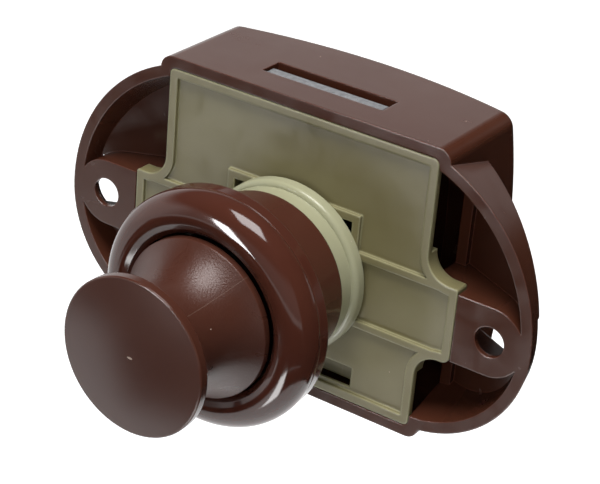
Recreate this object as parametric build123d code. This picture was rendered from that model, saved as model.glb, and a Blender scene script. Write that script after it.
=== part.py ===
from build123d import *
import os
from math import atan2, degrees, hypot, radians, sin, sqrt

# Pushbutton furniture lock, in mm, with the knob out and the bolt drawn in.
# Y=0 is the face that lies against the inside of the door. The knob points to -Y
# and the bolt comes out at +Z. The origin is where the knob's axis crosses that face.

# door that the lock is set for
door_thickness = 15.0
door_bore_d = 26.0

# travel
knob_travel = 12.5
bolt_throw = 8.0

# clearances and walls
slide_gap = 0.2
seat_gap = 0.15
pin_gap = 0.05
wall = 1.6

# rosette: barrel through the door, flange and bezel in front of it
barrel_gap = 0.45
barrel_wall = 0.8
barrel_end_gap = 0.05
flange_reach = 4.45
flange_step = 1.75
crease_step = 0.4
crease_depth = 0.3
bezel_overhang = 0.15
bezel_front = 6.1
bezel_bulge = 1.15
bulge_share = 0.75
opening_reach = 0.7
opening_chamfer = 0.7
bezel_lip = 0.75
lip_drop = 0.25
barrel_r = door_bore_d / 2 - barrel_gap
barrel_bore_r = barrel_r - barrel_wall
flange_r = barrel_r + flange_reach
bezel_r = flange_r + bezel_overhang
opening_r = barrel_bore_r + opening_reach

# guide sleeve with its collar
sleeve_fit = 0.1
sleeve_wall = 0.75
sleeve_front = 7.6
collar_neck_step = 0.4
collar_neck_length = 4.85
collar_bead = 2.0
collar_bead_r = 0.8
web_thickness = 2.0
sleeve_tube_r = barrel_bore_r - sleeve_fit
sleeve_bore_r = sleeve_tube_r - sleeve_wall
collar_neck_r = barrel_r - collar_neck_step

# knob
cap_r = 11.25
cap_stand = 20.2
cap_dome = 0.5
cap_rim = 1.5
cap_edge_r = 0.15
cap_under_step = 0.6
skirt_gap = 0.25
neck_step = 3.6
neck_stand = 15.3
skirt_proud = 0.5
skirt_length = 1.0
knob_wall = 1.5
knob_boss_r = 4.4
knob_pilot_r = 1.15
skirt_r = barrel_bore_r - skirt_gap
cap_reach = door_thickness + cap_stand
neck_y = door_thickness + neck_stand
neck_r = skirt_r - neck_step
skirt_front = door_thickness + bezel_front + skirt_proud

# plunger: square slide with the cam slots
plunger_half_x = 7.0
plunger_corner_gap = 0.27
plunger_corner_r = 1.2
plunger_stand = 1.0
plunger_floor = 2.4
spring_bore_r = 4.2
side_wall = 2.3
lug_height = 3.4
lug_width = 2.1
lug_length = 2.4
plunger_front = door_thickness + plunger_stand
plunger_half_z = sqrt((sleeve_bore_r - plunger_corner_gap) ** 2 - plunger_half_x ** 2)

# mounting plate
plate_thickness = 2.5
plate_edge = 1.0
plate_edge_inset = 2.0
plate_floor = 0.6
plate_rim = 1.3
arm_half = 5.8
arm_fillet = 3.6
arm_corner_r = 1.2
arm_point_r = 0.3
plate_corner_r = 0.8
rib_width = 1.1
pocket_length = 24.0
pocket_height = 3.2
pocket_margin = 3.6
pocket_depth = 1.7
recess_room = 5.5
wall_recess = plate_thickness + recess_room

# snap legs of the sleeve in the plate's square frame
leg_width = 9.0
leg_thickness = 0.9
leg_hook = 1.0
leg_room = 0.9
frame_width = 1.2
frame_hole_corner = 4.4
frame_hole_half = plunger_half_z + leg_room + leg_thickness + slide_gap
frame_half = frame_hole_half + frame_width

# snap hooks of the plate, behind the ledges of the box
hook_width = 2.4
hook_thickness = 1.0
hook_barb = 0.7

# bolt and its carrier
bolt_width = 19.2
bolt_thickness = 2.2
bolt_set_back = 0.25
bolt_gap = 0.2
bolt_edge = 0.25
bolt_seat = 0.9
bolt_stop = 0.3
foot_step = 0.8
slot_room = 0.4
slot_behind = 1.7
bridge_gap = 1.4
bridge_height = 5.8
bridge_depth = 2.1
cheek = 1.7
carrier_gap = 1.9
carrier_foot = 7.5
arm_gap = 0.8
rivet_d = 2.4
rivet_spacing = 11.0
rivet_head_d = 4.0
carrier_front = plate_thickness + carrier_gap
carrier_bridge = plunger_half_z + bridge_gap
carrier_top = carrier_bridge + bridge_height
carrier_half = bolt_width / 2 + slide_gap + cheek
bolt_front = carrier_front + bolt_seat
bolt_back = bolt_front + bolt_thickness
carrier_back = bolt_back + bridge_depth
bolt_foot = carrier_bridge + foot_step
arm_inner = plunger_half_x + arm_gap

# drive pins, and the slide blocks that run in the plunger's sloping slots
pin_set_back = 2.0
pin_d = 2.0
block_width = 3.2
block_length = 4.2
block_gap = 0.1
block_flange = 0.4
plunger_tail = 1.3
pin_y = carrier_front + pin_set_back
pin_z = -bolt_throw / 2
plunger_back = pin_y + block_width / 2 + plunger_tail

# catch: a wire that follows the heart-shaped track under the plunger
catch_wire_d = 1.2
catch_gap = 1.4
catch_set_back = 5.6
catch_swing = 9.0
catch_pin_d = 2.0
catch_pin_head = 0.4
catch_eye_gap = 0.06
track_depth = 1.7
track_width = 2.3
track_end = 2.7
catch_boss_r = 2.4
catch_room = 8.6
leaf_width = 3.6
leaf_thickness = 0.3
leaf_screw_step = 2.6
leaf_screw_d = 2.4
leaf_head_d = 4.4
leaf_head = 1.2
leaf_reach = 2.4
leaf_tip = 0.6
leaf_screw_y = pin_y + leaf_screw_step
catch_z = plunger_half_z + catch_gap

# housing: a box with a domed back and a lobe at each side
case_width = 48.0
case_corner_r = 2.0
case_edge_r = 0.7
crown_gap = 1.0
crown_z = 0.6
dome_radius_x = 90.0
dome_radius_z = 70.0
guide_rib = 1.3
half = case_width / 2
inner_half = half - wall
inner_top = carrier_top + bolt_throw + bolt_stop
inner_bottom = catch_z + catch_room
case_top = inner_top + wall
case_bottom = inner_bottom + wall
crown_depth = plunger_back + knob_travel + crown_gap + wall
dome_axis_y = crown_depth - dome_radius_x

# bolt slot in the top face
slot_length = bolt_width + 2 * slot_room
slot_front = bolt_front - bolt_gap
slot_back = bolt_back + slot_behind
bolt_top = case_top - bolt_set_back

# lobes
lobe_reach = 15.3
lobe_upper_step = 0.1
lobe_upper_r = case_top + lobe_upper_step
lobe_lower_r = case_bottom - wall
lobe_depth = 10.7
lobe_tip_depth = 3.1
lobe_draft = 14.0
lobe_rim = 1.7
lobe_tip = half + lobe_reach
lobe_slope = (lobe_depth - lobe_tip_depth) / lobe_reach
reach = 2 * lobe_tip

# screw bosses in the lobes
screw_offset = 9.0
screw_hole_d = 4.5
screw_head_d = 8.0
screw_land = 0.8
boss_thickness = 3.0
boss_web = 1.0
head_gap = 0.2
arm_reach = 3.4
screw_x = half + screw_offset
arm_end = half + arm_reach
channel_half = screw_head_d / 2 + head_gap
boss_half = channel_half + boss_web

# return spring and the post that it sits on
wire_d = 0.9
spring_r = 3.45
spring_turns = 11
post_r = 2.4
post_length = 11.8
washer_thickness = 0.6
post_front = crown_depth - wall - post_length

# knob screw
knob_screw_d = 2.6
knob_screw_head_d = 5.2
knob_screw_head = 1.8
knob_screw_length = 9.0
driver_slot = 0.7
driver_slot_length = 3.64

# places that follow from the ones above
catch_pivot_y = crown_depth - catch_set_back
catch_tip_y = plunger_back - track_end
heart_y = catch_pivot_y - catch_tip_y
pocket_z = pocket_margin - inner_bottom
ledge_x = inner_half - 2 * wall
ledge_front = plate_thickness + seat_gap
hook_x = ledge_x - wall


def slab(sketch, front, back):
    """Solid between the planes Y=front and Y=back, from a sketch drawn with Z upward."""
    return extrude(Plane.XZ.offset(-front) * sketch, amount=front - back)


def block(x0, x1, y0, y1, z0, z1):
    """Box between six named planes."""
    size = Box(x1 - x0, y1 - y0, z1 - z0)
    return Pos((x0 + x1) / 2, (y0 + y1) / 2, (z0 + z1) / 2) * size


def rod(radius, y0, y1, x=0.0, z=0.0):
    """Round bar along Y."""
    return Pos(x, (y0 + y1) / 2, z) * Rot(90, 0, 0) * Cylinder(radius, y1 - y0)


def cross_rod(radius, x0, x1, y, z):
    """Round bar along X."""
    return Pos((x0 + x1) / 2, y, z) * Rot(0, 90, 0) * Cylinder(radius, x1 - x0)


def upright(radius, z0, z1, x, y):
    """Round bar along Z."""
    return Pos(x, y, (z0 + z1) / 2) * Cylinder(radius, z1 - z0)


def turned(profile):
    """Solid turned about the knob's axis from a profile in radius and Y."""
    return revolve(profile, Axis.Y)


def both_sides(solid):
    """The solid and its mirror image on the other side of X=0."""
    return solid + mirror(solid, Plane.YZ)


def pillow(inset):
    """Body whose back is domed both ways, moved inward by inset."""
    ring = dome_radius_x - dome_radius_z
    sketch = Pos(ring, crown_z) * Circle(dome_radius_z - inset)
    sketch &= Pos(dome_radius_x / 2, 0) * Rectangle(dome_radius_x, 4 * dome_radius_x)
    plane = Plane(origin=(0, dome_axis_y, 0), x_dir=(0, 1, 0), z_dir=(1, 0, 0))
    return revolve(plane * sketch, Axis((0, dome_axis_y, 0), (0, 0, 1)))


def case_outline(inset, corner_r):
    """Box outline seen from the front."""
    height = case_top + case_bottom - 2 * inset
    sketch = RectangleRounded(2 * (half - inset), height, corner_r)
    return Pos(0, (case_top - case_bottom) / 2) * sketch


def lobe_outline(inset):
    """Outline of both lobes together: two arcs that meet at each tip."""
    upper = lobe_upper_r - inset
    lower = lobe_lower_r - inset
    upper_x = lobe_tip - lobe_upper_r
    lower_x = lobe_tip - lobe_lower_r
    edges = [
        CenterArc((upper_x, 0), upper, 0, 90),
        Line((upper_x, upper), (-upper_x, upper)),
        CenterArc((-upper_x, 0), upper, 90, 90),
        CenterArc((-lower_x, 0), lower, 180, 90),
        Line((-lower_x, -lower), (lower_x, -lower)),
        CenterArc((lower_x, 0), lower, 270, 90),
    ]
    return make_face(edges)


def lobe_body(inset, start, floor_inset):
    """Drafted lobes from X=start outward, down to their sloping backs."""
    face = Plane.XZ * lobe_outline(inset)
    body = extrude(face, amount=-lobe_depth, taper=lobe_draft)
    depth = lobe_depth - floor_inset
    far = depth - lobe_slope * (reach - half)
    near = depth + lobe_slope * (half - start)
    side = Polyline((start, -reach), (reach, -reach), (reach, far), (start, near), close=True)
    wedge = extrude(make_face(side), amount=reach, both=True)
    return body & both_sides(wedge)


def boss_outline(height_half):
    """Boss seen from the front: a bar with a round end about the screw hole."""
    bar = Pos(screw_x / 2, 0) * Rectangle(screw_x, 2 * height_half)
    end = Pos(screw_x, 0) * Circle(height_half)
    return bar + end


def make_housing():
    """Box, lobes, screw bosses, guides and posts, all one moulding."""
    body = slab(case_outline(0, case_corner_r), 0, crown_depth) & pillow(0)
    back_edges = body.edges().filter_by(lambda e: e.center().Y > slot_back)
    back_edges = back_edges.filter_by(lambda e: e.length > case_width / 3)
    back_edges = back_edges.filter_by(GeomType.LINE, reverse=True)
    body = fillet(back_edges, case_edge_r)
    body += lobe_body(0, inner_half, 0)
    inner_r = case_corner_r - wall / 2
    hollow = slab(case_outline(wall, inner_r), 0, crown_depth) & pillow(wall)
    cups = lobe_body(lobe_rim, half, wall)
    front = block(-reach, reach, 0, wall_recess, -reach, reach)
    cups += lobe_body(lobe_rim, inner_half - wall, wall) & front
    cups -= slab(both_sides(boss_outline(boss_half)), 0, crown_depth)
    body = body - hollow - cups
    shelf = arm_end + seat_gap
    recess = slab(Rectangle(2 * shelf, 2 * (arm_half + seat_gap)), 0, plate_thickness)
    side_tie = block(inner_half, half, 0, wall_recess, -boss_half, boss_half)
    body += both_sides(side_tie)
    body -= recess
    channel_front = plate_thickness + wall
    channel = block(half + wall, reach, channel_front, crown_depth, -channel_half, channel_half)
    seat_x = screw_x - channel_half
    channel += block(seat_x, reach, boss_thickness, crown_depth, -channel_half, channel_half)
    body -= both_sides(channel)
    hole = rod(screw_hole_d / 2, -wall, lobe_depth, screw_x)
    rise = (screw_head_d - screw_hole_d) / 2
    cone = Pos(screw_x, screw_land + rise / 2, 0) * Rot(-90, 0, 0)
    sink = cone * Cone(screw_hole_d / 2, screw_head_d / 2, rise)
    sink += rod(screw_head_d / 2, screw_land + rise, lobe_depth, screw_x)
    body -= both_sides(hole + sink)
    slot_half = slot_length / 2
    body -= block(-slot_half, slot_half, slot_front, slot_back, inner_top - wall, case_top + wall)
    body += make_inner_fittings()
    return body - leaf_screw_hole() - catch_pin_hole()


def make_inner_fittings():
    """Guide ribs, spring post, catch boss and plate ledges inside the box."""
    low = -inner_bottom - wall / 2
    high = inner_top + wall / 2
    inside = pillow(wall / 2)
    rib_start = carrier_half + slide_gap
    outer_rib = block(rib_start, rib_start + guide_rib, carrier_front, crown_depth, low, high)
    rib_start = arm_inner + guide_rib / 2
    back_rib = block(rib_start, rib_start + guide_rib, carrier_back + slide_gap, crown_depth, low, high)
    fittings = both_sides(outer_rib + back_rib)
    fittings += rod(post_r, post_front, crown_depth)
    boss_top = -catch_z - catch_wire_d / 2 - slide_gap
    fittings += upright(catch_boss_r, low, boss_top, 0, catch_pivot_y)
    fittings += upright(catch_boss_r, low, -inner_bottom + wall, 0, leaf_screw_y)
    ledge_end = ledge_front + wall
    top_ledge = block(ledge_x - 2 * wall, ledge_x, ledge_front, ledge_end, inner_top - wall, high)
    low_ledge = block(ledge_x - 2 * wall, ledge_x, ledge_front, ledge_end, low, wall - inner_bottom)
    fittings += both_sides(top_ledge + low_ledge)
    return fittings & inside


def leaf_screw_hole():
    """Pilot hole for the leaf spring's screw."""
    low = -inner_bottom - wall / 4
    return upright(leaf_screw_d / 2, low, -inner_bottom + 2 * wall, 0, leaf_screw_y)


def catch_pin_hole():
    """Hole for the catch pin in its boss."""
    low = -inner_bottom - wall / 4
    return upright(catch_pin_d / 2, low, -catch_z, 0, catch_pivot_y)


def plate_outline():
    """Cross-shaped outline of the mounting plate."""
    top = inner_top - seat_gap
    bottom = inner_bottom - seat_gap
    side = inner_half - seat_gap
    middle = Pos(0, (top - bottom) / 2) * Rectangle(2 * side, top + bottom)
    arms = Rectangle(2 * arm_end, 2 * arm_half)
    cross = middle + arms
    inner = [v for v in cross.vertices() if abs(abs(v.X) - side) < pin_gap and abs(v.Y) < top / 2]
    cross = fillet(inner, arm_fillet)
    tips = [v for v in cross.vertices() if abs(abs(v.X) - arm_end) < pin_gap]
    cross = fillet([v for v in tips if v.Y > 0], arm_point_r)
    tips = [v for v in cross.vertices() if abs(abs(v.X) - arm_end) < pin_gap]
    cross = fillet([v for v in tips if v.Y < 0], arm_corner_r)
    corners = [v for v in cross.vertices() if abs(v.Y) > bottom - pin_gap]
    return fillet(corners, plate_corner_r)


def plate_hook(edge, turn):
    """Snap hook at the plate's top or bottom edge, its barb behind a ledge of the box."""
    outer = edge - wall - 2 * seat_gap
    inner = outer - hook_thickness
    barb_start = ledge_front + wall + pin_gap
    barb_end = barb_start + hook_barb
    tip = outer + hook_barb
    side = Polyline((plate_floor, inner), (plate_floor, outer), (barb_start, outer), (barb_start, tip),
                    (barb_end, outer), (barb_end, inner), close=True)
    plane = Plane(origin=(hook_x - hook_width / 2, 0, 0), x_dir=(0, 1, 0), z_dir=(1, 0, 0))
    hook = extrude(plane * make_face(side), amount=hook_width)
    return mirror(hook, Plane.XY) if turn else hook


def make_mounting_plate():
    """Cover over the front of the box: floor, raised rim, ribs and the square frame."""
    outline = plate_outline()
    body = slab(outline, plate_floor, plate_edge)
    top = inner_top - seat_gap - plate_edge_inset
    bottom = inner_bottom - seat_gap - plate_edge_inset
    side = inner_half - seat_gap - plate_edge_inset
    core = Pos(0, (top - bottom) / 2) * RectangleRounded(2 * side, top + bottom, plate_corner_r)
    strip = outline & Rectangle(2 * arm_end, 2 * (arm_half + arm_fillet))
    body += slab(core + strip, plate_floor, plate_thickness)
    rim = outline - offset(outline, amount=-plate_rim)
    rib_z = arm_half - rib_width / 2
    rib = Pos(0, rib_z) * Rectangle(2 * arm_end - plate_rim, rib_width)
    frame = Pos(0, (frame_half - arm_half) / 2) * Rectangle(2 * frame_half, frame_half + arm_half)
    raised = rim + ((rib + mirror(rib, Plane.XZ)) & outline) + frame
    body += slab(raised, 0, plate_floor)
    hole = Rectangle(2 * frame_hole_half, 2 * frame_hole_half)
    hole = fillet(hole.vertices().sort_by(Axis.Y)[:2], frame_hole_corner)
    body -= slab(hole, 0, plate_thickness)
    pocket = Pos(0, pocket_z) * Rectangle(pocket_length, pocket_height)
    body -= slab(pocket, plate_floor, plate_floor + pocket_depth)
    hooks = plate_hook(inner_top, False) + plate_hook(inner_bottom, True)
    guide_x = carrier_half - guide_rib * 3 / 2
    guide_back = carrier_front - slide_gap
    guides = block(guide_x, guide_x + guide_rib, plate_thickness, guide_back, frame_half, top)
    guides += block(guide_x, guide_x + guide_rib, plate_thickness, guide_back, -bottom, -arm_half)
    return body + both_sides(hooks + guides)


def make_guide_sleeve():
    """Tube with a rounded collar in front of the plate and four snap legs behind it."""
    bead_r = door_bore_d / 2
    tube = turned(make_face(Plane.XY * Polyline(
        (sleeve_bore_r, 0), (bead_r, 0), (bead_r, -collar_bead), (collar_neck_r, -collar_bead),
        (collar_neck_r, -collar_neck_length), (sleeve_tube_r, -collar_neck_length),
        (sleeve_tube_r, -sleeve_front), (sleeve_bore_r, -sleeve_front), close=True)))
    circles = tube.edges().filter_by(GeomType.CIRCLE)
    bead = [e for e in circles if abs(e.radius - bead_r) < pin_gap and e.center().Y < -pin_gap]
    tube = fillet(bead, collar_bead_r)
    web = slab(Circle(sleeve_bore_r + pin_gap), -web_thickness, 0)
    hole = Rectangle(2 * (plunger_half_x + slide_gap), 2 * (plunger_half_z + slide_gap))
    web -= slab(hole, -web_thickness, 0)
    return tube + web + make_sleeve_legs()


def make_sleeve_legs():
    """Four legs through the square hole, each with a hook behind the plate."""
    outer = frame_hole_half - slide_gap
    inner = outer - leg_thickness
    catch = plate_thickness + pin_gap
    end = catch + leg_hook
    side = Polyline((inner, 0), (outer, 0), (outer, catch), (outer + leg_hook, catch),
                    (outer, end), (inner, end), close=True)
    leg = Pos(0, 0, -leg_width / 2) * extrude(make_face(side), amount=leg_width)
    return Part() + [Rot(0, 90 * turn, 0) * leg for turn in range(4)]


def make_rosette():
    """Barrel that passes through the door, with a rounded bezel on the outside."""
    back = -door_thickness
    flange_front = back - flange_step
    crease = flange_front - crease_step
    front = back - bezel_front
    lip = front + lip_drop
    bore_front = lip + opening_chamfer
    end = -collar_neck_length - barrel_end_gap
    lip_r = opening_r + bezel_lip
    middle_r = (bezel_r + lip_r) / 2 + bezel_bulge
    middle_y = (crease + front) / 2 - bezel_bulge * bulge_share
    edges = [
        Line((barrel_bore_r, end), (barrel_r, end)),
        Line((barrel_r, end), (barrel_r, back)),
        Line((barrel_r, back), (flange_r, back)),
        Line((flange_r, back), (flange_r, flange_front)),
        Line((flange_r, flange_front), (flange_r - crease_depth, flange_front - crease_step / 2)),
        Line((flange_r - crease_depth, flange_front - crease_step / 2), (bezel_r, crease)),
        ThreePointArc((bezel_r, crease), (middle_r, middle_y), (lip_r, front)),
        Line((lip_r, front), (opening_r, lip)),
        Line((opening_r, lip), (barrel_bore_r, bore_front)),
        Line((barrel_bore_r, bore_front), (barrel_bore_r, end)),
    ]
    return turned(make_face(edges))


def make_knob():
    """Spool-shaped knob: domed cap, waisted neck and a skirt that fills the rosette."""
    rim = -cap_reach
    apex = rim - cap_dome
    back = rim + cap_rim
    end = -skirt_front + skirt_length
    face_r = cap_r - cap_edge_r
    under_r = cap_r - cap_under_step
    pocket_r = neck_r - knob_wall
    pocket_front = back + knob_wall
    boss_end = -plunger_front
    edges = [
        ThreePointArc((0, apex), (face_r / 2, apex + cap_dome / 4), (face_r, rim)),
        Line((face_r, rim), (cap_r, rim + cap_edge_r)),
        Line((cap_r, rim + cap_edge_r), (cap_r, back - cap_edge_r)),
        Line((cap_r, back - cap_edge_r), (under_r, back)),
        *waist_arcs(under_r, back),
        Line((skirt_r, -skirt_front), (skirt_r, end)),
        Line((skirt_r, end), (pocket_r, end)),
        Line((pocket_r, end), (pocket_r, pocket_front)),
        Line((pocket_r, pocket_front), (knob_boss_r, pocket_front)),
        Line((knob_boss_r, pocket_front), (knob_boss_r, boss_end)),
        Line((knob_boss_r, boss_end), (0, boss_end)),
        Line((0, boss_end), (0, apex)),
    ]
    body = turned(make_face(edges))
    return body - rod(knob_pilot_r, boss_end - knob_screw_length, boss_end)


def waist_arcs(under_r, back):
    """The two arcs from the cap to the skirt, which meet at the narrowest place."""
    waist = (neck_r, -neck_y)
    upper = TangentArc(waist, (under_r, back), tangent=(0, -1))
    lower = TangentArc(waist, (skirt_r, -skirt_front), tangent=(0, 1))
    return [upper, lower]


def slanted_slot(start, end, length, width, travel=0.0):
    """Slot-shaped bar from X=start to X=end, along the way that a slide block takes."""
    angle = -degrees(atan2(bolt_throw, knob_travel))
    middle = Pos(pin_y - travel * knob_travel / 2, pin_z + travel * bolt_throw / 2)
    run = length - width + travel * hypot(bolt_throw, knob_travel)
    sketch = middle * Rot(0, 0, angle) * SlotCenterToCenter(run, width)
    plane = Plane(origin=(start, 0, 0), x_dir=(0, 1, 0), z_dir=(1, 0, 0))
    return extrude(plane * sketch, amount=end - start)


def cam_slot():
    """Sloping slot in the plunger's right wall, for the whole travel of the block."""
    gap = 2 * block_gap
    inner = plunger_half_x - side_wall
    return slanted_slot(inner, plunger_half_x, block_length + gap, block_width + gap, travel=1.0)


def heart_track():
    """Track under the plunger: a lane out, a lane back, and the heart between them."""
    swing = heart_y * sin(radians(catch_swing))
    start = catch_tip_y
    end = start - knob_travel
    lane = track_width / 2
    field = Polyline((-lane, start + lane), (lane, start + lane), (swing + lane, end),
                     (swing + lane, end - lane), (-swing - lane, end - lane), (-swing - lane, end), close=True)
    heart_half = swing - lane
    ear_r = heart_half / 2
    ear = end + 2 * lane
    island = Polyline((0, start - 3 * lane), (ear_r, ear + lane), (ear_r, ear), (0, ear + lane / 2),
                      (-ear_r, ear), (-ear_r, ear + lane), close=True)
    sketch = make_face(field) - make_face(island)
    return extrude(Plane.XY.offset(-plunger_half_z) * sketch, amount=track_depth)


def make_plunger():
    """Square slide behind the knob, bored for the spring and slotted for the slide blocks."""
    sketch = RectangleRounded(2 * plunger_half_x, 2 * plunger_half_z, plunger_corner_r)
    body = slab(sketch, -plunger_front, plunger_back)
    floor = -plunger_front + plunger_floor
    body -= rod(spring_bore_r, floor, plunger_back)
    body -= rod(knob_screw_d / 2 + pin_gap, -plunger_front, floor)
    body -= both_sides(cam_slot())
    body -= heart_track()
    lug_front = plate_thickness + slide_gap
    lug = block(plunger_half_x - lug_width, plunger_half_x, lug_front, lug_front + lug_length,
                -plunger_half_z - lug_height, -plunger_half_z + plunger_corner_r)
    return body + both_sides(lug)


def make_knob_screw():
    """Screw from inside the plunger into the knob's boss."""
    seat = -plunger_front + plunger_floor + washer_thickness
    head = rod(knob_screw_head_d / 2, seat, seat + knob_screw_head)
    shank = rod(knob_pilot_r, seat - knob_screw_length, seat)
    slot_depth = knob_screw_head / 2
    cross = block(-driver_slot_length / 2, driver_slot_length / 2, seat + slot_depth,
                  seat + knob_screw_head, -driver_slot / 2, driver_slot / 2)
    return head + shank - cross - Rot(0, 90, 0) * cross


def make_spring_washer():
    """Washer under the screw head that carries the spring."""
    seat = -plunger_front + plunger_floor
    ring = rod(spring_bore_r - slide_gap, seat, seat + washer_thickness)
    return ring - rod(knob_screw_d / 2 + pin_gap, seat, seat + washer_thickness)


def spring_ends():
    """Y of the two ends of the return spring at rest."""
    front = -plunger_front + plunger_floor + washer_thickness
    back = crown_depth - wall - (spring_r + wire_d) ** 2 / dome_radius_z
    return front, back


def make_return_spring():
    """Compression spring from the washer to the back wall of the box."""
    front, back = spring_ends()
    length = back - front - wire_d
    path = Helix(length / spring_turns, length, spring_r)
    start = path.position_at(0)
    section = Plane(origin=start, z_dir=path.tangent_at(0)) * Circle(wire_d / 2)
    coil = sweep(section, path=path)
    return Pos(0, front + wire_d / 2, 0) * Rot(-90, 0, 0) * coil


def make_bolt():
    """Flat steel bar that comes out of the slot in the top face."""
    body = block(-bolt_width / 2, bolt_width / 2, bolt_front, bolt_back, bolt_foot, bolt_top)
    body = chamfer(body.edges().filter_by(Axis.X).sort_by(Axis.Z)[-2:], bolt_edge)
    return body - rivets(rivet_d / 2, bolt_front, bolt_back)


def rivets(radius, y0, y1):
    """The pair of rivet positions in the bolt."""
    z = (bolt_foot + carrier_top) / 2
    return both_sides(rod(radius, y0, y1, rivet_spacing / 2, z))


def make_bolt_carrier():
    """Fork that holds the bolt and straddles the plunger with its two legs."""
    bridge = block(-carrier_half, carrier_half, bolt_back, carrier_back, carrier_bridge, carrier_top)
    leg = block(arm_inner, carrier_half, carrier_front, carrier_back, -carrier_foot, carrier_bridge + bolt_edge)
    guide = block(carrier_half - cheek, carrier_half, carrier_front, carrier_back, carrier_bridge, carrier_top)
    body = bridge + both_sides(leg + guide)
    body -= both_sides(cross_rod(pin_d / 2, arm_inner, carrier_half, pin_y, pin_z))
    return body - rivets(rivet_d / 2, bolt_back, carrier_back)


def make_bolt_rivets():
    """Two rivets through the bolt and the carrier."""
    shank = rivets(rivet_d / 2, bolt_front, carrier_back)
    front = rivets(rivet_head_d / 2, bolt_front - bolt_gap + pin_gap, bolt_front)
    return shank + front


def make_drive_pin():
    """Short pin in the right leg of the carrier."""
    inner = plunger_half_x - side_wall + slide_gap
    return cross_rod(pin_d / 2, inner, carrier_half, pin_y, pin_z)


def make_drive_block():
    """Slide block on the right drive pin, with a thin flange between plunger and leg."""
    inner = plunger_half_x - side_wall + slide_gap
    outer = plunger_half_x + slide_gap
    body = slanted_slot(inner, outer, block_length, block_width)
    rim = 2 * block_flange
    body += slanted_slot(outer, outer + block_flange, block_length + rim, block_width + rim)
    return body - cross_rod(pin_d / 2 + pin_gap / 2, inner, outer + block_flange, pin_y, pin_z)


def make_catch_wire():
    """Wire with an eye round its pivot pin and a tip bent up into the track."""
    wire_r = catch_wire_d / 2
    eye_r = catch_pin_d / 2 + catch_eye_gap + wire_r
    eye = Pos(0, catch_pivot_y, -catch_z) * Torus(eye_r, wire_r)
    arm = rod(wire_r, catch_tip_y, catch_pivot_y - eye_r, 0, -catch_z)
    tip_top = -plunger_half_z + track_depth - slide_gap * 2
    tip = upright(wire_r, -catch_z, tip_top, 0, catch_tip_y)
    elbow = Pos(0, catch_tip_y, -catch_z) * Sphere(wire_r)
    return eye + arm + tip + elbow


def make_catch_pin():
    """Headed pin that the catch wire turns on."""
    top = -catch_z + catch_wire_d / 2 + slide_gap / 2
    pin = upright(catch_pin_d / 2, -inner_bottom - wall / 4, top, 0, catch_pivot_y)
    head_r = (catch_pin_d + catch_wire_d) / 2
    head = upright(head_r, top, top + catch_pin_head, 0, catch_pivot_y)
    return pin + head


def make_catch_spring():
    """Leaf spring that holds the catch wire up in its track."""
    base = -inner_bottom + wall
    under = -catch_z - catch_wire_d / 2 - slide_gap
    top = under - leaf_thickness
    foot = leaf_screw_y - leaf_head_d / 2
    rise = leaf_screw_y + leaf_head_d / 2 + 2 * leaf_thickness
    bends = [(foot, base), (rise, base), (rise + leaf_reach, top), (rise + leaf_reach + leaf_tip, top)]
    line = FilletPolyline(*bends, radius=leaf_thickness)
    plane = Plane(origin=(-leaf_width / 2, 0, 0), x_dir=(0, 1, 0), z_dir=(1, 0, 0))
    strip = offset(line, amount=leaf_thickness, side=Side.LEFT)
    body = extrude(plane * make_face(strip), amount=leaf_width)
    return body - upright(leaf_screw_d / 2, base, base + leaf_thickness, 0, leaf_screw_y)


def make_catch_spring_screw():
    """Screw that fastens the leaf spring to the bottom of the box."""
    seat = -inner_bottom + wall + leaf_thickness
    shank = upright(leaf_screw_d / 2, -inner_bottom - wall / 4, seat, 0, leaf_screw_y)
    return shank + upright(leaf_head_d / 2, seat, seat + leaf_head, 0, leaf_screw_y)


pieces = {
    "housing": make_housing(),
    "mounting_plate": make_mounting_plate(),
    "guide_sleeve": make_guide_sleeve(),
    "rosette": make_rosette(),
    "knob": make_knob(),
    "plunger": make_plunger(),
    "knob_screw": make_knob_screw(),
    "spring_washer": make_spring_washer(),
    "return_spring": make_return_spring(),
    "bolt": make_bolt(),
    "bolt_carrier": make_bolt_carrier(),
    "bolt_rivets": make_bolt_rivets(),
    "catch_wire": make_catch_wire(),
    "catch_pin": make_catch_pin(),
    "catch_spring": make_catch_spring(),
    "catch_spring_screw": make_catch_spring_screw(),
}

right_side = {
    "drive_pin": make_drive_pin(),
    "drive_block": make_drive_block(),
}
for name, solid in right_side.items():
    pieces[f"{name}_right"] = solid
    pieces[f"{name}_left"] = mirror(solid, Plane.YZ)

os.makedirs("parts", exist_ok=True)
for name, solid in pieces.items():
    export_step(solid, f"parts/{name}.step")
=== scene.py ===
import logging
from dataclasses import dataclass, field
from enum import Enum
from math import cos, radians, sin
from typing import Any

import bmesh
import bpy
from mathutils import Matrix, Vector


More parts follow.
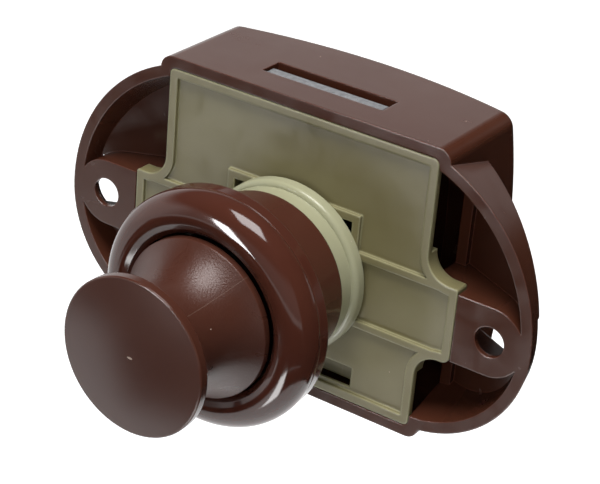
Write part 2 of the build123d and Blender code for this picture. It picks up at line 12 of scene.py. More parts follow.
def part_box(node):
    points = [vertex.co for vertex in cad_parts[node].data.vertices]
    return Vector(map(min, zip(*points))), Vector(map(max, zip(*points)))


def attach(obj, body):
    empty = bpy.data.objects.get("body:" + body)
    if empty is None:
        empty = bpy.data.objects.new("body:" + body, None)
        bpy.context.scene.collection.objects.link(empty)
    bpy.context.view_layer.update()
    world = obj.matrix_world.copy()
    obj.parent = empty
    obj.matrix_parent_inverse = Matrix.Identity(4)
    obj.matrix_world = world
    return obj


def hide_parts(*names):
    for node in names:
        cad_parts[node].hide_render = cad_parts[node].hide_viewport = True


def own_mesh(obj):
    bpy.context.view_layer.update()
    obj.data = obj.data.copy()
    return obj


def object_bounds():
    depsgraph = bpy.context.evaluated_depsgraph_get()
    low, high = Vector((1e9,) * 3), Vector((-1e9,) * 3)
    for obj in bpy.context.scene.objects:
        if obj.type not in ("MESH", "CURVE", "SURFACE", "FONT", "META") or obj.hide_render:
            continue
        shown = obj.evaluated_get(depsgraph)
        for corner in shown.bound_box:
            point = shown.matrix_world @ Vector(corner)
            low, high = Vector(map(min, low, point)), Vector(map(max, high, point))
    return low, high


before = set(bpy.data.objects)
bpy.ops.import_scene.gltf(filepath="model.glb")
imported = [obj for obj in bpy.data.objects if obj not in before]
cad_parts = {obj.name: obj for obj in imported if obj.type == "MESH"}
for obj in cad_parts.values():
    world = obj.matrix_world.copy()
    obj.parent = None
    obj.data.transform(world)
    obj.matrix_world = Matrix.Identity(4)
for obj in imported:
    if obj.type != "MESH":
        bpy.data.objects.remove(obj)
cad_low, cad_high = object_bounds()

log = logging.getLogger("furniture_lock")

MM = 0.001
WHITE = "#ffffff"

Span = tuple[float, float]
Triple = tuple[float, float, float]
Tree = bpy.types.NodeTree
Socket = bpy.types.NodeSocket

# the Mix node's two inputs and its output for each kind of data
MIX_SOCKETS = {"FLOAT": (2, 3, 0), "VECTOR": (4, 5, 1), "RGBA": (6, 7, 2)}


def linear(hex_colour: str) -> tuple[float, float, float, float]:
    """Turn an sRGB hex colour into linear RGBA, by the standard's own formula.

    Args:
        hex_colour: Six hex digits, with or without a leading hash.

    Returns:
        Linear red, green, blue and an alpha of 1.
    """
    digits = hex_colour.lstrip("#")
    channels = [int(digits[i:i + 2], 16) / 255 for i in (0, 2, 4)]
    values = [c / 12.92 if c <= 0.04045 else ((c + 0.055) / 1.055) ** 2.4 for c in channels]
    return values[0], values[1], values[2], 1.0


def add_node(tree: Tree, kind: str, settings: dict[str, Any] | None = None,
             inputs: dict[Any, Any] | None = None) -> bpy.types.Node:
    """Add a node with its settings, values and links.

    Args:
        tree: Node tree that takes the node.
        kind: Blender's identifier of the node type.
        settings: Properties of the node by name.
        inputs: Socket name or index to a value, or to the output socket that feeds it.

    Returns:
        The new node.
    """
    node = tree.nodes.new(kind)
    for name, value in (settings or {}).items():
        setattr(node, name, value)
    for key, value in (inputs or {}).items():
        socket = node.inputs[key]
        if isinstance(value, bpy.types.NodeSocket):
            tree.links.new(value, socket)
        else:
            socket.default_value = value
    return node


def math_node(tree: Tree, operation: str, first: Any, second: Any = 0.0) -> Socket:
    """Add one sum, product or comparison.

    Args:
        tree: Node tree that takes the node.
        operation: Blender's name of the operation.
        first: Value or output socket.
        second: Value or output socket.

    Returns:
        The result's socket.
    """
    node = add_node(tree, "ShaderNodeMath", {"operation": operation}, {0: first, 1: second})
    return node.outputs["Value"]


def vector_node(tree: Tree, operation: str, first: Any, second: Any = (0.0, 0.0, 0.0)) -> Any:
    """Add one step of vector arithmetic.

    Args:
        tree: Node tree that takes the node.
        operation: Blender's name of the operation.
        first: Vector or output socket.
        second: Vector or output socket.

    Returns:
        The node's outputs: Vector, and Value for a length or a dot product.
    """
    return add_node(tree, "ShaderNodeVectorMath", {"operation": operation},
                    {0: first, 1: second}).outputs


def mix_node(tree: Tree, kind: str, factor: Socket, first: Any, second: Any) -> Socket:
    """Add a mix of two values, vectors or colours.

    Args:
        tree: Node tree that takes the node.
        kind: Kind of data, a key of MIX_SOCKETS.
        factor: Share of the second one.
        first: Value or output socket.
        second: Value or output socket.

    Returns:
        The result's socket.
    """
    low, high, result = MIX_SOCKETS[kind]
    node = add_node(tree, "ShaderNodeMix", {"data_type": kind}, {
        "Factor": factor, low: first, high: second})
    return node.outputs[result]


def range_node(tree: Tree, value: Socket, given: tuple[Any, Any],
               wanted: tuple[Any, Any] = (0.0, 1.0)) -> Socket:
    """Add a map from one range to another, which stops at both ends.

    Args:
        tree: Node tree that takes the node.
        value: Value to map.
        given: Ends of the range that it comes from.
        wanted: Ends of the range that it goes to.

    Returns:
        The result's socket.
    """
    node = add_node(tree, "ShaderNodeMapRange", inputs={
        "Value": value, "From Min": given[0], "From Max": given[1],
        "To Min": wanted[0], "To Max": wanted[1]})
    return node.outputs["Result"]


def bump_node(tree: Tree, height: Socket, normal: Socket, depth_mm: float,
              strength: float) -> Socket:
    """Add a bump on a surface.

    Args:
        tree: Material node tree.
        height: Height of the relief, from 0 to 1.
        normal: Normal of the surface without it.
        depth_mm: Depth of the relief.
        strength: Share of the bump that shows.

    Returns:
        Normal socket.
    """
    node = add_node(tree, "ShaderNodeBump", inputs={
        "Strength": strength, "Distance": depth_mm * MM, "Height": height, "Normal": normal})
    return node.outputs["Normal"]


def edge_node(tree: Tree, radius_mm: float, samples: int) -> Socket:
    """Add the softening of the edges.

    Args:
        tree: Material node tree.
        radius_mm: Radius that the edges seem to have.
        samples: Number of samples that find the edges.

    Returns:
        Normal socket of the softened surface.
    """
    node = add_node(tree, "ShaderNodeBevel", {"samples": samples}, {"Radius": radius_mm * MM})
    return node.outputs["Normal"]


def depth_of(tree: Tree, place: Socket) -> Socket:
    """Y of a place, along the knob's axis."""
    return add_node(tree, "ShaderNodeSeparateXYZ", inputs={"Vector": place}).outputs["Y"]


def new_material(name: str) -> tuple[bpy.types.Material, Tree]:
    """Make an empty node material.

    Args:
        name: Name of the material.

    Returns:
        The material and its cleared node tree.
    """
    material = bpy.data.materials.new(name)
    material.use_nodes = True
    material.node_tree.nodes.clear()
    return material, material.node_tree


def close_tree(tree: Tree, shader: Socket) -> None:
    """Connect a shader to the material's surface output."""
    add_node(tree, "ShaderNodeOutputMaterial", inputs={"Surface": shader})


@dataclass(frozen=True)
class Cloud:
    """Cloudy pattern: the size of its blobs, and how finely they are broken up and bent."""

    size_mm: float
    detail: float
    roughness: float = 0.5
    distortion: float = 0.0

    def add(self, tree: Tree, place: Socket) -> Socket:
        """Add the pattern.

        Args:
            tree: Material node tree.
            place: Coordinates in metres.

        Returns:
            Socket with the pattern, about 0.5 in the middle.
        """
        node = add_node(tree, "ShaderNodeTexNoise", inputs={
            "Vector": place, "Scale": 1 / (self.size_mm * MM), "Detail": self.detail,
            "Roughness": self.roughness, "Distortion": self.distortion})
        return node.outputs["Fac"]


class Grain(Enum):
    """How a mould's face was finished, with the strength of the grain that it leaves."""

    POLISHED = 0.0
    SATIN = 0.35
    SPARK_ERODED = 1.0


@dataclass(frozen=True)
class MouldedPlastic:
    """Injection-moulded plastic: even colour, a skin that follows the mould's face, soft edges
    with a painted highlight.

    Attributes:
        cloud_range: Values of the clouds between which the colour changes.
        smears: Pattern of the roughness, with blobs a third as large as the clouds.
        smear_range: Values of the smears between which the roughness changes.
        smear_effect: Roughness at the ends of that range, as a share of the usual one.
        edge_bend: Cosines between soft and flat normal where the painted edge highlight starts and
            ends.
        edge_highlight_strength: Share of the painted edge highlight where it is strongest.
        dust_cell_mm: Size of the cells that hold one dust speck each.
        dust_mm: Radius of a speck.
    """

    name: str
    colour: str
    cloud_colour: str
    # lighter colour on the edges: a painted highlight
    edge_highlight_colour: str
    grain: Grain
    roughness: float
    ior: float = 1.5
    clouds: Cloud = Cloud(14.0, detail=3.0, roughness=0.55)
    cloud_range: Span = (0.35, 0.68)
    smears: Cloud = Cloud(14.0 / 3, detail=4.0, distortion=0.6)
    smear_range: Span = (0.3, 0.7)
    smear_effect: Span = (0.8, 1.25)
    edge_radius_mm: float = 0.25
    edge_samples: int = 6
    edge_bend: Span = (0.995, 0.8)
    edge_highlight_strength: float = 0.75
    ripple: Cloud = Cloud(6.0, detail=1.0)
    ripple_depth_mm: float = 0.02
    ripple_strength: float = 0.35
    grit: Cloud = Cloud(0.22, detail=2.0, roughness=0.6)
    grit_depth_mm: float = 0.012
    dust_cell_mm: float = 5.0
    dust_mm: float = 0.09
    dust_colour: str = "#b9a596"

    def build(self) -> bpy.types.Material:
        """Build the material.

        Returns:
            The finished material.
        """
        material, tree = new_material(self.name)
        place = add_node(tree, "ShaderNodeTexCoord").outputs["Object"]
        cloud = range_node(tree, self.clouds.add(tree, place), self.cloud_range)
        base = mix_node(tree, "RGBA", cloud, linear(self.colour), linear(self.cloud_colour))
        rounded = edge_node(tree, self.edge_radius_mm, self.edge_samples)
        # painted highlight: where the softened normal bends away from the flat one, the edges take
        # the lighter edge colour
        edge = self._edge_highlight_mask(tree, rounded)
        edge_lit = mix_node(tree, "RGBA", edge, base, linear(self.edge_highlight_colour))
        dust = self._dust_mask(tree, place)
        shader = add_node(tree, "ShaderNodeBsdfPrincipled", inputs={
            "Base Color": mix_node(tree, "RGBA", dust, edge_lit, linear(self.dust_colour)),
            "Roughness": self._roughness(tree, place, dust),
            "Normal": self._skin(tree, place, rounded),
            "IOR": self.ior})
        close_tree(tree, shader.outputs["BSDF"])
        return material

    def _edge_highlight_mask(self, tree: Tree, rounded: Socket) -> Socket:
        """Mask of the painted edge highlight: the softened edges, where the rounded normal leaves
        the flat one.

        Args:
            tree: Material node tree.
            rounded: Normal of the softened surface.

        Returns:
            Socket with edge_highlight_strength on an edge and 0 on a face.
        """
        flat = add_node(tree, "ShaderNodeNewGeometry").outputs["Normal"]
        meet = vector_node(tree, "DOT_PRODUCT", rounded, flat)["Value"]
        return range_node(tree, meet, self.edge_bend, (0.0, self.edge_highlight_strength))

    def _dust_mask(self, tree: Tree, place: Socket) -> Socket:
        """Mask of dust specks: middles of a random pattern's cells, where the surface meets them.

        Args:
            tree: Material node tree.
            place: Coordinates in metres.

        Returns:
            Socket with 1 on a speck.
        """
        cells = add_node(tree, "ShaderNodeTexVoronoi", inputs={
            "Vector": place, "Scale": 1 / (self.dust_cell_mm * MM)})
        return math_node(tree, "LESS_THAN", cells.outputs["Distance"],
                         self.dust_mm / self.dust_cell_mm)

    def _roughness(self, tree: Tree, place: Socket, dust: Socket) -> Socket:
        """Roughness with handling smears, and dull dust specks.

        Args:
            tree: Material node tree.
            place: Coordinates in metres.
            dust: Mask of the specks.

        Returns:
            Roughness socket.
        """
        least, most = self.smear_effect
        smeared = range_node(tree, self.smears.add(tree, place), self.smear_range,
                             (self.roughness * least, self.roughness * most))
        return math_node(tree, "MAXIMUM", smeared, dust)

    def _skin(self, tree: Tree, place: Socket, rounded: Socket) -> Socket:
        """Bump of the moulded skin: long ripples, and the grain of the mould's face.

        Args:
            tree: Material node tree.
            place: Coordinates in metres.
            rounded: Normal of the softened surface.

        Returns:
            Normal socket.
        """
        rippled = bump_node(tree, self.ripple.add(tree, place), rounded,
                            self.ripple_depth_mm, self.ripple_strength)
        if self.grain is Grain.POLISHED:
            return rippled
        return bump_node(tree, self.grit.add(tree, place), rippled,
                         self.grit_depth_mm, self.grain.value)


@dataclass(frozen=True)
class KnobPlastic(MouldedPlastic):
    """Plastic of the knob: polished cap, grained neck, the mould's seam and one pale fleck.

    Attributes:
        cap_back_mm: Y that parts the cap from the neck.
        seam_angle_deg: Turn of the seam's plane about the knob's axis.
        seam_end_mm: Y at which the seam ends, short of the cap.
        fleck_mm: Middle of the fleck.
        fleck_size_mm: Half its size along X, Y and Z.
    """

    cap_back_mm: float = -33.7
    cap_roughness: float = 0.2
    seam_angle_deg: float = 40.0
    seam_mm: float = 0.04
    seam_end_mm: float = -31.5
    seam_strength: float = 0.22
    fleck_mm: Triple = (0.2, -35.7, 0.3)
    fleck_size_mm: Triple = (0.42, 0.3, 0.16)

    def _dust_mask(self, tree: Tree, place: Socket) -> Socket:
        """Mask of the dust specks, the mould's seam line and the fleck.

        Args:
            tree: Material node tree.
            place: Coordinates in metres.

        Returns:
            Socket with 1 on a speck or the fleck, and seam_strength on the seam.
        """
        specks = super()._dust_mask(tree, place)
        seam = math_node(tree, "MULTIPLY", self._seam(tree, place), self.seam_strength)
        both = math_node(tree, "MAXIMUM", specks, seam)
        return math_node(tree, "MAXIMUM", both, self._fleck(tree, place))

    def _seam(self, tree: Tree, place: Socket) -> Socket:
        """Line along the neck where the halves of the mould met.

        Args:
            tree: Material node tree.
            place: Coordinates in metres.

        Returns:
            Socket with 1 on the line.
        """
        angle = radians(self.seam_angle_deg)
        across = vector_node(tree, "DOT_PRODUCT", place, (cos(angle), 0.0, -sin(angle)))["Value"]
        line = range_node(tree, math_node(tree, "ABSOLUTE", across), (self.seam_mm * MM, 0.0))
        neck = math_node(tree, "GREATER_THAN", depth_of(tree, place), self.seam_end_mm * MM)
        return math_node(tree, "MULTIPLY", line, neck)

    def _fleck(self, tree: Tree, place: Socket) -> Socket:
        """Pale fleck near the middle of the cap.

        Args:
            tree: Material node tree.
            place: Coordinates in metres.

        Returns:
            Socket with 1 on the fleck.
        """
        middle = tuple(v * MM for v in self.fleck_mm)
        away = vector_node(tree, "SUBTRACT", place, middle)["Vector"]
        sizes = tuple(1 / (v * MM) for v in self.fleck_size_mm)
        scaled = vector_node(tree, "MULTIPLY", away, sizes)["Vector"]
        distance = vector_node(tree, "LENGTH", scaled)["Value"]
        return math_node(tree, "LESS_THAN", distance, 1.0)

    def _roughness(self, tree: Tree, place: Socket, dust: Socket) -> Socket:
        """Roughness of the grained neck and of the smoother cap.

        Args:
            tree: Material node tree.
            place: Coordinates in metres.
            dust: Mask of the specks.

        Returns:
            Roughness socket.
        """
        neck = super()._roughness(tree, place, dust)
        return mix_node(tree, "FLOAT", self._cap(tree, place), neck, self.cap_roughness)

    def _skin(self, tree: Tree, place: Socket, rounded: Socket) -> Socket:
        """Bump of the grained neck, which the polished cap doesn't have.

        Args:
            tree: Material node tree.
            place: Coordinates in metres.
            rounded: Normal of the softened surface.

        Returns:
            Normal socket.
        """
        grained = super()._skin(tree, place, rounded)
        return mix_node(tree, "VECTOR", self._cap(tree, place), grained, rounded)

    def _cap(self, tree: Tree, place: Socket) -> Socket:
        """Mask of the cap, in front of the neck: 1 on the cap and 0 behind it."""
        return math_node(tree, "LESS_THAN", depth_of(tree, place), self.cap_back_mm * MM)


@dataclass(frozen=True)
class PlatedSteel:
    """Steel with a thin bright zinc coat: a grey metal with fine drawn lines and cloudy blooms.

    Attributes:
        stretch: Scale of the lines along X, Y and Z; a small one draws them out.
        dull_range: Values of the blooms between which the roughness changes.
        dull_effect: Roughness at the ends of that range, as a share of the usual one.
    """

    name: str
    colour: str = "#b9b9c0"
    bloom_colour: str = "#9b9ca4"
    roughness: float = 0.32
    bloom: Cloud = Cloud(3.0, detail=4.0)
    lines: Cloud = Cloud(0.12, detail=2.0)
    stretch: Triple = (0.04, 1.0, 1.0)
    line_depth_mm: float = 0.004
    line_strength: float = 0.5
    dull_range: Span = (0.3, 0.7)
    dull_effect: Span = (0.75, 1.3)
    edge_radius_mm: float = 0.12
    edge_samples: int = 4

    def build(self) -> bpy.types.Material:
        """Build the material.

        Returns:
            The finished material.
        """
        material, tree = new_material(self.name)
        place = add_node(tree, "ShaderNodeTexCoord").outputs["Object"]
        bloom = self.bloom.add(tree, place)
        base = mix_node(tree, "RGBA", bloom, linear(self.colour), linear(self.bloom_colour))
        drawn = add_node(tree, "ShaderNodeMapping", inputs={
            "Vector": place, "Scale": self.stretch}).outputs["Vector"]
        rounded = edge_node(tree, self.edge_radius_mm, self.edge_samples)
        skin = bump_node(tree, self.lines.add(tree, drawn), rounded,
                         self.line_depth_mm, self.line_strength)
        least, most = self.dull_effect
        dull = range_node(tree, bloom, self.dull_range,
                          (self.roughness * least, self.roughness * most))
        shader = add_node(tree, "ShaderNodeBsdfPrincipled", inputs={
            "Base Color": base, "Metallic": 1.0, "Roughness": dull, "Normal": skin})
        close_tree(tree, shader.outputs["BSDF"])
        return material


@dataclass(frozen=True)
class PaleFloor:
    """Matt white studio floor: it takes the soft shadow and is seen as white in the gloss.

    Attributes:
        lift: Light that it adds of its own for the camera and the gloss.
    """

    name: str = "matt_white_studio_floor"
    colour: str = "#f4f4f4"
    lift: float = 0.8

    def build(self) -> bpy.types.Material:
        """Build the material.

        Returns:
            The finished material.
        """
        material, tree = new_material(self.name)
        matt = add_node(tree, "ShaderNodeBsdfDiffuse", inputs={"Color": linear(self.colour)})
        glow = add_node(tree, "ShaderNodeEmission", inputs={
            "Color": linear(WHITE), "Strength": seen_rays(tree, self.lift)})
        both = add_node(tree, "ShaderNodeAddShader", inputs={
            0: matt.outputs["BSDF"], 1: glow.outputs["Emission"]})
        close_tree(tree, both.outputs["Shader"])
        return material


def seen_rays(tree: Tree, strength: float) -> Socket:
    """Strength that only camera, glossy and transmission rays meet.

    Args:
        tree: Node tree of a stage material or of the world.
        strength: Value for those rays.

    Returns:
        Socket with the strength, or 0 for other rays.
    """
    path = add_node(tree, "ShaderNodeLightPath").outputs
    first = math_node(tree, "MAXIMUM", path["Is Camera Ray"], path["Is Glossy Ray"])
    seen = math_node(tree, "MAXIMUM", first, path["Is Transmission Ray"])
    return math_node(tree, "MULTIPLY", seen, strength)


HOUSING_PLASTIC = MouldedPlastic(
    # brown ABS with a faint satin grain: deep colour, clear gloss, warm painted highlights on the
    # thin edges
    name="brown_abs_housing", colour="#452418", cloud_colour="#49291d", edge_highlight_colour="#6b4136",
    grain=Grain.SATIN, roughness=0.22)
ROSETTE_PLASTIC = MouldedPlastic(
    # the same brown ABS, polished to a mirror on the face that shows on the door, with a painted
    # highlight on the edges
    name="brown_abs_polished", colour="#45231a", cloud_colour="#4a281e", edge_highlight_colour="#5f362a",
    grain=Grain.POLISHED, roughness=0.09)
KNOB_PLASTIC = KnobPlastic(
    # brown ABS with a spark-eroded skin on the neck: the gloss breaks up into fine sparkle;
    # painted highlight on the edges
    name="brown_abs_spark_eroded", colour="#44241a", cloud_colour="#49291f",
    edge_highlight_colour="#6a3f31", grain=Grain.SPARK_ERODED, roughness=0.32,
    grit=Cloud(0.26, detail=2.0, roughness=0.6), grit_depth_mm=0.035)
PLATE_PLASTIC = MouldedPlastic(
    # olive-beige acetal: waxy, slightly uneven, with a pale painted highlight on the soft edges
    name="olive_acetal_plate", colour="#726a48", cloud_colour="#7b7452", edge_highlight_colour="#aeab85",
    grain=Grain.SATIN, roughness=0.4, edge_radius_mm=0.5)
SLEEVE_PLASTIC = MouldedPlastic(
    # olive-beige acetal from a polished mould: brighter gloss on the collar's bead, painted
    # highlight on the edges
    name="olive_acetal_sleeve", colour="#9b9a7c", cloud_colour="#a3a286", edge_highlight_colour="#b4b496",
    grain=Grain.POLISHED, roughness=0.22, edge_radius_mm=0.15)
SLIDE_PLASTIC = MouldedPlastic(
    # natural acetal of the inner moving pieces: off-white, matt, with a painted highlight on the
    # edges
    name="natural_acetal", colour="#b9b4a4", cloud_colour="#c0bbad", edge_highlight_colour="#cbc7ba",
    grain=Grain.SATIN, roughness=0.45)
SHADE_BLACK_SLIDE_PLASTIC = MouldedPlastic(
    # painted shade: the slide behind the knob is black here, though its own acetal is off-white,
    # so that the gap round the knob looks as dark as the shade in it; the edges carry a painted
    # highlight
    name="slide_black_as_painted_shade", colour="#1b1a18", cloud_colour="#1f1e1c", edge_highlight_colour="#2a2927",
    grain=Grain.SATIN, roughness=0.5)
BOLT_STEEL = PlatedSteel(
    # zinc from a barrel bath: small crystals, some bright and some dull
    name="zinc_plated_strip", colour="#e4e5e8", bloom_colour="#97989d", roughness=0.36,
    bloom=Cloud(0.6, detail=4.0), line_depth_mm=0.014)
PIN_STEEL = PlatedSteel(
    # zinc on turned pins and screws: an even, brighter grey
    name="zinc_plated_pins", roughness=0.28, lines=Cloud(0.2, detail=2.0))
SPRING_STEEL = PlatedSteel(
    # bare drawn wire and strip: darker than the zinc
    name="drawn_spring_steel", colour="#8d8e92", bloom_colour="#77787c", roughness=0.38)


@dataclass(frozen=True)
class ReturnSpring:
    """Compression spring with closed ends, wound along the knob's axis.

    Attributes:
        node: Packed spring that it replaces.
        body: Body that it rides on.
        slide: Joint that shortens the spring, by travel_mm; not used.
    """

    node: str = "return_spring"
    body: str = "case"
    slide: str = "knob_slide"
    turns: float = 12.0
    wire_mm: float = 0.9
    travel_mm: float = 12.5
    steps_a_turn: int = 40
    steps_round_wire: int = 12

    def build(self) -> bpy.types.Object:
        """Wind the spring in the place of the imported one.

        Returns:
            The finished piece.
        """
        low, high = (Vector(corner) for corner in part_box(self.node))
        wire = self.wire_mm * MM
        coil_r = (high.x - low.x) / 2 - wire / 2
        length = high.y - low.y - wire
        mesh = bpy.data.meshes.new("return_spring_wound")
        piece = bpy.data.objects.new("return_spring_wound", mesh)
        bpy.context.scene.collection.objects.link(piece)
        modifier = piece.modifiers.new("winding", "NODES")
        modifier.node_group = self._winding()
        values = {"Turns": self.turns, "Coil radius": coil_r, "Wire radius": wire / 2,
                  "Length": length, "Front": low.y + wire / 2, "Finish": SPRING_STEEL.build()}
        for socket in modifier.node_group.interface.items_tree:
            if socket.name in values:
                modifier[socket.identifier] = values[socket.name]
        piece.update_tag()
        scene_graph = bpy.context.evaluated_depsgraph_get()
        wound = bpy.data.meshes.new_from_object(piece.evaluated_get(scene_graph))
        piece.modifiers.remove(modifier)
        piece.data = wound
        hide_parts(self.node)
        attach(piece, self.body)
        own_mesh(piece)
        log.info("spring wound with %d faces", len(wound.polygons))
        return piece

    def _winding(self) -> Tree:
        """Geometry nodes that wind the wire: one closed turn at each end, open turns between.

        Returns:
            The node group.
        """
        tree = bpy.data.node_groups.new("coil_winding", "GeometryNodeTree")
        face = tree.interface
        for name in ("Turns", "Coil radius", "Wire radius", "Length", "Front"):
            face.new_socket(name=name, in_out="INPUT", socket_type="NodeSocketFloat")
        face.new_socket(name="Finish", in_out="INPUT", socket_type="NodeSocketMaterial")
        face.new_socket(name="Geometry", in_out="OUTPUT", socket_type="NodeSocketGeometry")
        given = add_node(tree, "NodeGroupInput").outputs
        coil = add_node(tree, "GeometryNodeCurveSpiral", inputs={
            "Resolution": self.steps_a_turn, "Rotations": given["Turns"], "Height": 0.0,
            "Start Radius": given["Coil radius"], "End Radius": given["Coil radius"]})
        place = add_node(tree, "GeometryNodeInputPosition").outputs["Position"]
        flat = add_node(tree, "ShaderNodeSeparateXYZ", inputs={"Vector": place}).outputs
        depth = math_node(tree, "ADD", self._rise(tree, given), given["Front"])
        spot = add_node(tree, "ShaderNodeCombineXYZ", inputs={
            "X": flat["X"], "Y": depth, "Z": flat["Y"]})
        raised = add_node(tree, "GeometryNodeSetPosition", inputs={
            "Geometry": coil.outputs["Curve"], "Position": spot.outputs["Vector"]})
        section = add_node(tree, "GeometryNodeCurvePrimitiveCircle", inputs={
            "Resolution": self.steps_round_wire, "Radius": given["Wire radius"]})
        swept = add_node(tree, "GeometryNodeCurveToMesh", inputs={
            "Curve": raised.outputs["Geometry"], "Profile Curve": section.outputs["Curve"],
            "Fill Caps": True})
        smooth = add_node(tree, "GeometryNodeSetShadeSmooth", inputs={
            "Geometry": swept.outputs["Mesh"]})
        real = add_node(tree, "GeometryNodeRealizeInstances", inputs={
            "Geometry": smooth.outputs["Geometry"]})
        done = add_node(tree, "GeometryNodeSetMaterial", inputs={
            "Geometry": real.outputs["Geometry"], "Material": given["Finish"]})
        add_node(tree, "NodeGroupOutput", inputs={"Geometry": done.outputs["Geometry"]})
        return tree

    def _rise(self, tree: Tree, given: Any) -> Socket:
        """Rise of the wire: by its own diameter in each closed turn, and evenly between.

        Args:
            tree: Node group of the coil.
            given: Outputs of the group's input node.

        Returns:
            Socket with the height gained so far.
        """
        along = add_node(tree, "GeometryNodeSplineParameter").outputs["Factor"]
        turn = math_node(tree, "MULTIPLY", along, given["Turns"])
        wire = math_node(tree, "MULTIPLY", given["Wire radius"], 2.0)
        closed = math_node(tree, "MULTIPLY", wire, 2.0)
        open_length = math_node(tree, "SUBTRACT", given["Length"], closed)
        last = math_node(tree, "SUBTRACT", given["Turns"], 1.0)
        first_rise = range_node(tree, turn, (0.0, 1.0), (0.0, wire))
        open_rise = range_node(tree, turn, (1.0, last), (0.0, open_length))
        last_rise = range_node(tree, turn, (last, given["Turns"]), (0.0, wire))
        return math_node(tree, "ADD", math_node(tree, "ADD", first_rise, open_rise), last_rise)


@dataclass
class Lock:
    """The whole lock: which finish each piece has."""

    finishes: dict[str, Any] = field(default_factory=lambda: {
        "housing": HOUSING_PLASTIC,
        "mounting_plate": PLATE_PLASTIC,
        "guide_sleeve": SLEEVE_PLASTIC,
        "rosette": ROSETTE_PLASTIC,
        "knob": KNOB_PLASTIC,
        # painted shade: the plunger is black so that the gap round the knob looks dark
        "plunger": SHADE_BLACK_SLIDE_PLASTIC,
        "bolt_carrier": SLIDE_PLASTIC,
        "drive_block_left": SLIDE_PLASTIC,
        "drive_block_right": SLIDE_PLASTIC,
        "bolt": BOLT_STEEL,
        "bolt_rivets": PIN_STEEL,
        "drive_pin_left": PIN_STEEL,
        "drive_pin_right": PIN_STEEL,
        "knob_screw": PIN_STEEL,
        "spring_washer": PIN_STEEL,
        "catch_pin": PIN_STEEL,
        "catch_spring_screw": PIN_STEEL,
        "return_spring": SPRING_STEEL,
        "catch_wire": SPRING_STEEL,
        "catch_spring": SPRING_STEEL,
    })

    def dress(self) -> None:
        """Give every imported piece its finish."""
        built: dict[str, bpy.types.Material] = {}
        for node, finish in self.finishes.items():
            if finish.name not in built:
                built[finish.name] = finish.build()
            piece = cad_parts[node]
            piece.data.materials.clear()
            piece.data.materials.append(built[finish.name])
            log.info("%s is %s", node, finish.name)

    def build(self) -> None:
        """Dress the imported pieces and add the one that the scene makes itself."""
        self.dress()
        ReturnSpring().build()


def direction(azimuth: float, elevation: float) -> Vector:
    """Unit vector from the lock towards a place in the studio.

    Args:
        azimuth: Degrees from the front (-Y), towards +X.
        elevation: Degrees above the horizon.

    Returns:
        The unit vector.
    """
    a, e = radians(azimuth), radians(elevation)
    return Vector((sin(a) * cos(e), -cos(a) * cos(e), sin(e)))


class LampReach(Enum):
    """What a lamp does on the lock: it lights the surfaces, or shows its image in the gloss."""

    DIFFUSE = "diffuse"
    GLOSS = "gloss"


@dataclass(frozen=True)
class Lamp:
    """Rectangular soft lamp that looks at the lock.

    Attributes:
        azimuth: Degrees from the front, towards the lock's right.
        elevation: Degrees above the horizon.
        reach: Distance from the lock in metres.
        width: Width in metres.
        height: Height in metres.
        power: Watts.
        sees: What the lamp does on the lock.
        tilt: Degrees turned about the line to the lock.
    """

    name: str
    azimuth: float
    elevation: float
    reach: float
    width: float
    height: float
    power: float
    sees: LampReach
    tilt: float = 0.0

    def build(self) -> bpy.types.Object:
        """Hang the lamp.

        Returns:
            The lamp object.
        """
        data = bpy.data.lights.new(self.name, "AREA")
        data.shape = "RECTANGLE"
        data.size, data.size_y = self.width, self.height
        data.energy = self.power
        lamp = bpy.data.objects.new(self.name, data)
        lamp.visible_glossy = self.sees is LampReach.GLOSS
        lamp.visible_diffuse = self.sees is LampReach.DIFFUSE
        bpy.context.scene.collection.objects.link(lamp)
        way = direction(self.azimuth, self.elevation)
        turn = way.to_track_quat("Z", "Y").to_matrix().to_4x4()
        turn = turn @ Matrix.Rotation(radians(self.tilt), 4, "Z")
        lamp.matrix_world = Matrix.Translation(way * self.reach) @ turn
        return lamp


@dataclass(frozen=True)
class Flag:
    """Dark card bent round the lock, which only its gloss sees: it keeps the white room out.

    Attributes:
        azimuths: Degrees from the front at the card's two ends, towards the lock's right.
        elevations: Degrees above the horizon of its lower and upper edge.
        reach: Distance from the lock in metres.
        segments: Number of flat strips that make the bend.
    """

    name: str
    azimuths: Span
    elevations: Span
    reach: float
    segments: int = 16
    colour: str = "#171514"

    def build(self) -> bpy.types.Object:
        """Stand the card up.

        Returns:
            The card object.
        """
        mesh = bpy.data.meshes.new(self.name)
        shape = bmesh.new()
        start, end = self.azimuths
        columns = []
        for step in range(self.segments + 1):
            azimuth = start + (end - start) * step / self.segments
            ends = [direction(azimuth, elevation) * self.reach for elevation in self.elevations]
            columns.append([shape.verts.new(place) for place in ends])
        for (low, high), (next_low, next_high) in zip(columns, columns[1:]):
            shape.faces.new((low, next_low, next_high, high))
        shape.to_mesh(mesh)
        shape.free()
        card = bpy.data.objects.new(self.name, mesh)
        bpy.context.scene.collection.objects.link(card)
        card.visible_camera = card.visible_diffuse = card.visible_shadow = False
        material, tree = new_material(f"{self.name}_felt")
        felt = add_node(tree, "ShaderNodeBsdfDiffuse", inputs={"Color": linear(self.colour)})
        close_tree(tree, felt.outputs["BSDF"])
        mesh.materials.append(material)
        return card


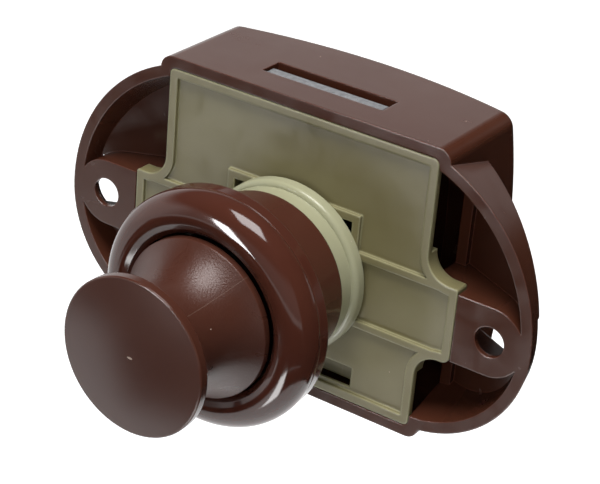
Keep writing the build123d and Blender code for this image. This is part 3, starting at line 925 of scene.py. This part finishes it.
@dataclass
class Studio:
    """Camera, lamps, floor and surroundings of the picture.

    Attributes:
        shift: Shift of the picture in the camera, as a share of its width.
        floor_drop: Metres from the lock's lowest point down to the floor.
        room_light: Strength of the room that lights the surfaces.
        sweep_top_deg: Elevations between which the white sweep gives way to the ceiling.
        dim_light: Strength of the ceiling in the gloss.
        bright_side_deg: Azimuth of the middle of the sweep's bright side.
        bright_side_edge: Cosines from that middle between which the bright side begins.
        far_side_light: Strength of the sweep's other side in the gloss.
    """

    azimuth_deg: float = 32.05
    elevation_deg: float = 27.10
    roll_deg: float = 5.10
    distance: float = 0.2706
    target: Triple = (0.00183, 0.0, 0.00422)
    lens_mm: float = 115.63
    sensor_mm: float = 36.0
    clip_start: float = 0.01
    shift: Span = (0.00031, -0.00204)
    floor_drop: float = 0.30
    floor_radius: float = 4.0
    floor_segments: int = 64
    room_light: float = 0.14
    sweep_top_deg: Span = (18, 31)
    dim_light: float = 0.08
    bright_side_deg: float = -106
    bright_side_edge: Span = (0.36, 0.56)
    far_side_light: float = 0.35
    lamps: tuple[Lamp, ...] = (
        Lamp("window", azimuth=-19, elevation=3, reach=0.45, width=0.08, height=0.27,
             power=2.1, sees=LampReach.GLOSS, tilt=10),
        Lamp("low_window", azimuth=0, elevation=-43, reach=0.34, width=0.09, height=0.09,
             power=0.24, sees=LampReach.GLOSS),
        Lamp("ceiling", azimuth=10, elevation=78, reach=0.8, width=0.4, height=0.4,
             power=8.5, sees=LampReach.DIFFUSE),
        Lamp("ceiling_sheen", azimuth=25, elevation=80, reach=0.8, width=0.4, height=0.4,
             power=4.8, sees=LampReach.GLOSS),
        Lamp("front_fill", azimuth=20, elevation=25, reach=0.9, width=0.6, height=0.6,
             power=2.0, sees=LampReach.DIFFUSE),
    )
    flags: tuple[Flag, ...] = (
        Flag("front_card", azimuths=(-38, 62), elevations=(-36, -9), reach=0.5),
        Flag("left_card", azimuths=(-47, -38), elevations=(-25, -9), reach=0.5, segments=4),
        Flag("low_card", azimuths=(9, 150), elevations=(-50, -36), reach=0.36),
        Flag("right_card", azimuths=(62, 150), elevations=(-40, 48), reach=0.5),
        Flag("back_card", azimuths=(150, 190), elevations=(-50, 4), reach=0.5),
    )

    def build(self) -> None:
        """Set up the camera, the floor, the world, the lamps and the cards."""
        scene = bpy.context.scene
        scene.view_settings.view_transform = "Standard"
        scene.camera = self._camera()
        self._floor()
        scene.world = self._world()
        for item in (*self.lamps, *self.flags):
            item.build()

    def _camera(self) -> bpy.types.Object:
        """Camera at the photograph's viewing angle.

        Returns:
            The camera object.
        """
        data = bpy.data.cameras.new("camera")
        data.lens = self.lens_mm
        data.sensor_width = self.sensor_mm
        data.shift_x, data.shift_y = self.shift
        data.clip_start = self.clip_start
        camera = bpy.data.objects.new("camera", data)
        bpy.context.scene.collection.objects.link(camera)
        back = direction(self.azimuth_deg, self.elevation_deg)
        right = Vector((0, 0, 1)).cross(back).normalized()
        up = back.cross(right)
        turn = Matrix((right, up, back)).transposed().to_4x4()
        turn = turn @ Matrix.Rotation(radians(self.roll_deg), 4, "Z")
        camera.matrix_world = Matrix.Translation(Vector(self.target) + back * self.distance) @ turn
        return camera

    def _floor(self) -> None:
        """Large round floor under the lock, which its door would hold in the air."""
        mesh = bpy.data.meshes.new("floor")
        shape = bmesh.new()
        bmesh.ops.create_circle(shape, cap_ends=True, segments=self.floor_segments,
                                radius=self.floor_radius)
        bmesh.ops.translate(shape, verts=shape.verts, vec=(0, 0, cad_low[2] - self.floor_drop))
        shape.to_mesh(mesh)
        shape.free()
        floor = bpy.data.objects.new("floor", mesh)
        bpy.context.scene.collection.objects.link(floor)
        mesh.materials.append(PaleFloor().build())

    def _world(self) -> bpy.types.World:
        """World that the camera sees white, the gloss as a sweep, and the surfaces as dim.

        The sweep is a pale band round the horizon, brighter on one side, under a dark ceiling.

        Returns:
            The world.
        """
        world = bpy.data.worlds.new("studio")
        world.use_nodes = True
        tree = world.node_tree
        tree.nodes.clear()
        way = add_node(tree, "ShaderNodeTexCoord").outputs["Generated"]
        height = add_node(tree, "ShaderNodeSeparateXYZ", inputs={"Vector": way}).outputs["Z"]
        top = tuple(sin(radians(angle)) for angle in self.sweep_top_deg)
        low = range_node(tree, height, top, (1.0, self.dim_light))
        side = vector_node(tree, "DOT_PRODUCT", way, direction(self.bright_side_deg, 0))["Value"]
        near = range_node(tree, side, self.bright_side_edge, (self.far_side_light, 1.0))
        sweep = math_node(tree, "MULTIPLY", low, near)
        from_camera = add_node(tree, "ShaderNodeLightPath").outputs["Is Camera Ray"]
        seen = math_node(tree, "MAXIMUM", sweep, from_camera)
        level = mix_node(tree, "FLOAT", seen_rays(tree, 1.0), self.room_light, seen)
        sky = add_node(tree, "ShaderNodeBackground", inputs={
            "Color": linear(WHITE), "Strength": level})
        add_node(tree, "ShaderNodeOutputWorld", inputs={"Surface": sky.outputs["Background"]})
        return world


def main() -> None:
    """Dress the lock and set up the studio."""
    logging.basicConfig(level=logging.INFO, format="%(name)s: %(message)s")
    Lock().build()
    Studio().build()


if __name__ == "__main__":
    main()
